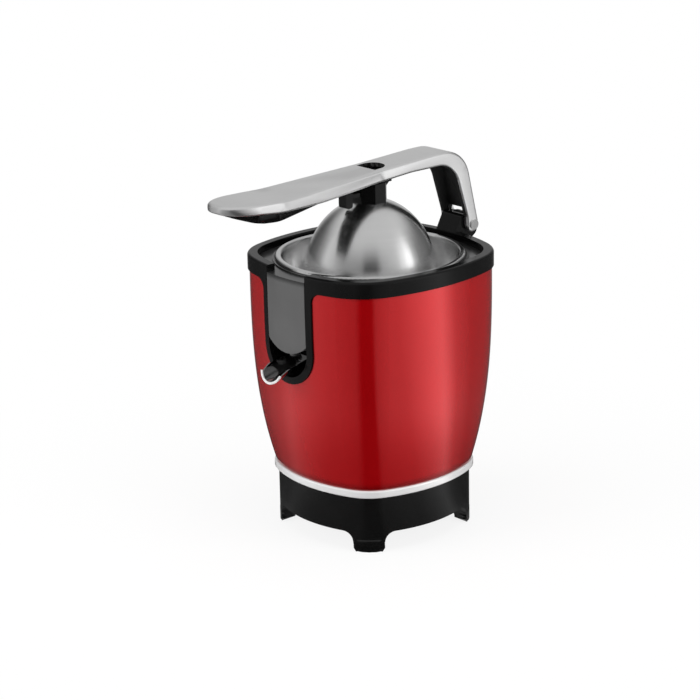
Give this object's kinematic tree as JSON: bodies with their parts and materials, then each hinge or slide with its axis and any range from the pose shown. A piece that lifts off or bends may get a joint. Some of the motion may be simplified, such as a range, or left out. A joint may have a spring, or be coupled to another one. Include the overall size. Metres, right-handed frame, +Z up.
{
  "type": "citrus press juicer",
  "caption": "Electric lever citrus press: rounded body on a footed base, strainer bowl and ribbed reamer under a steel cup on a hinged arm, with a tilting juice spout.",
  "frame": {"origin": "on the floor under the middle of the base", "axes": "+Z up, -Y towards the spout at the front, +X to the viewer's right"},
  "size_m": [0.1908, 0.275, 0.3266],
  "materials": {
    "red_paint": "red metallic paint, gloss",
    "black_gloss": "gloss black",
    "black_satin": "satin black",
    "grey_plastic": "satin mid grey",
    "natural_plastic": "moulded natural gear plastic",
    "polished": "polished bright metal",
    "brushed": "brushed stainless steel",
    "satin_alloy": "satin cast alloy",
    "plain_steel": "plain machined steel",
    "windings": "enamelled wire",
    "rubber": "soft black rubber"
  },
  "bodies": {
    "arm": {"lever_arm": "satin_alloy", "grip_cover": "black_satin", "grip_screws": "plain_steel", "cup_socket": "black_satin", "latch_pin": "plain_steel", "cup_knob": "black_satin", "press_cup": "brushed", "hinge_pin": "polished", "pin_cap": "polished"},
    "latch": {"release_latch": "black_satin"},
    "spout": {"spout": "polished"},
    "rotor": {"motor_shaft": "plain_steel", "rotor_core": "plain_steel", "motor_pinion": "plain_steel", "cooling_fan": "black_satin"},
    "idler": {"idler_gear": "natural_plastic"},
    "output": {"output_gear": "natural_plastic"},
    "reamer": {"drive_shaft": "plain_steel", "reamer_cone": "grey_plastic", "spring_plunger": "natural_plastic"},
    "root": {"base_housing": "black_gloss", "body_shell": "red_paint", "bottom_plate": "black_satin", "bottom_screws": "plain_steel", "bracket_screws": "plain_steel", "chrome_ring": "polished", "cord_gland": "rubber", "foot_pads": "rubber", "gear_chassis": "black_satin", "gear_cover": "black_satin", "hinge_bracket": "black_gloss", "hub_bushes": "natural_plastic", "idler_axle": "plain_steel", "juice_collector": "grey_plastic", "motor_bearings": "plain_steel", "motor_can": "plain_steel", "return_spring": "plain_steel", "shaft_seal": "rubber", "spout_frame": "black_gloss", "spout_pin": "plain_steel", "start_switch": "black_satin", "stator_coils": "windings", "stator_core": "plain_steel", "strainer_bowl": "polished", "top_rim": "black_gloss"}
  },
  "joints": [
    {"name": "arm_lift", "type": "hinge", "parent": "root", "child": "arm", "pos_m": [0, 0.1075, 0.2555], "axis": [-1, 0, 0], "range_deg": [0, 80]},
    {"name": "latch_press", "type": "hinge", "parent": "arm", "child": "latch", "pos_m": [0, -0.019, 0.313], "axis": [-1, 0, 0], "range_deg": [0, 6], "stiffness_Nm_per_rad": 0.5, "springref_deg": -5.73},
    {"name": "spout_tilt", "type": "hinge", "parent": "root", "child": "spout", "pos_m": [0, -0.078, 0.165], "axis": [-1, 0, 0], "range_deg": [0, 20]},
    {"name": "rotor_spin", "type": "hinge", "parent": "root", "child": "rotor", "pos_m": [0, 0.044, 0.08], "axis": [0, 0, 1], "continuous": true},
    {"name": "idler_spin", "type": "hinge", "parent": "root", "child": "idler", "pos_m": [0.02709, 0.03111, 0.13], "axis": [0, 0, 1], "continuous": true},
    {"name": "reamer_spin", "type": "hinge", "parent": "root", "child": "output", "pos_m": [0, 0, 0.14], "axis": [0, 0, 1], "continuous": true},
    {"name": "reamer_press", "type": "slide", "parent": "output", "child": "reamer", "axis": [0, 0, 1], "range_m": [-0.003, 0], "stiffness_N_per_m": 1500, "springref_m": 0.003, "deforming": ["return_spring"]}
  ],
  "couplings": [
    {"joint": "idler_spin", "follows": "rotor_spin", "ratio": -0.25},
    {"joint": "reamer_spin", "follows": "rotor_spin", "ratio": 0.067308}
  ]
}
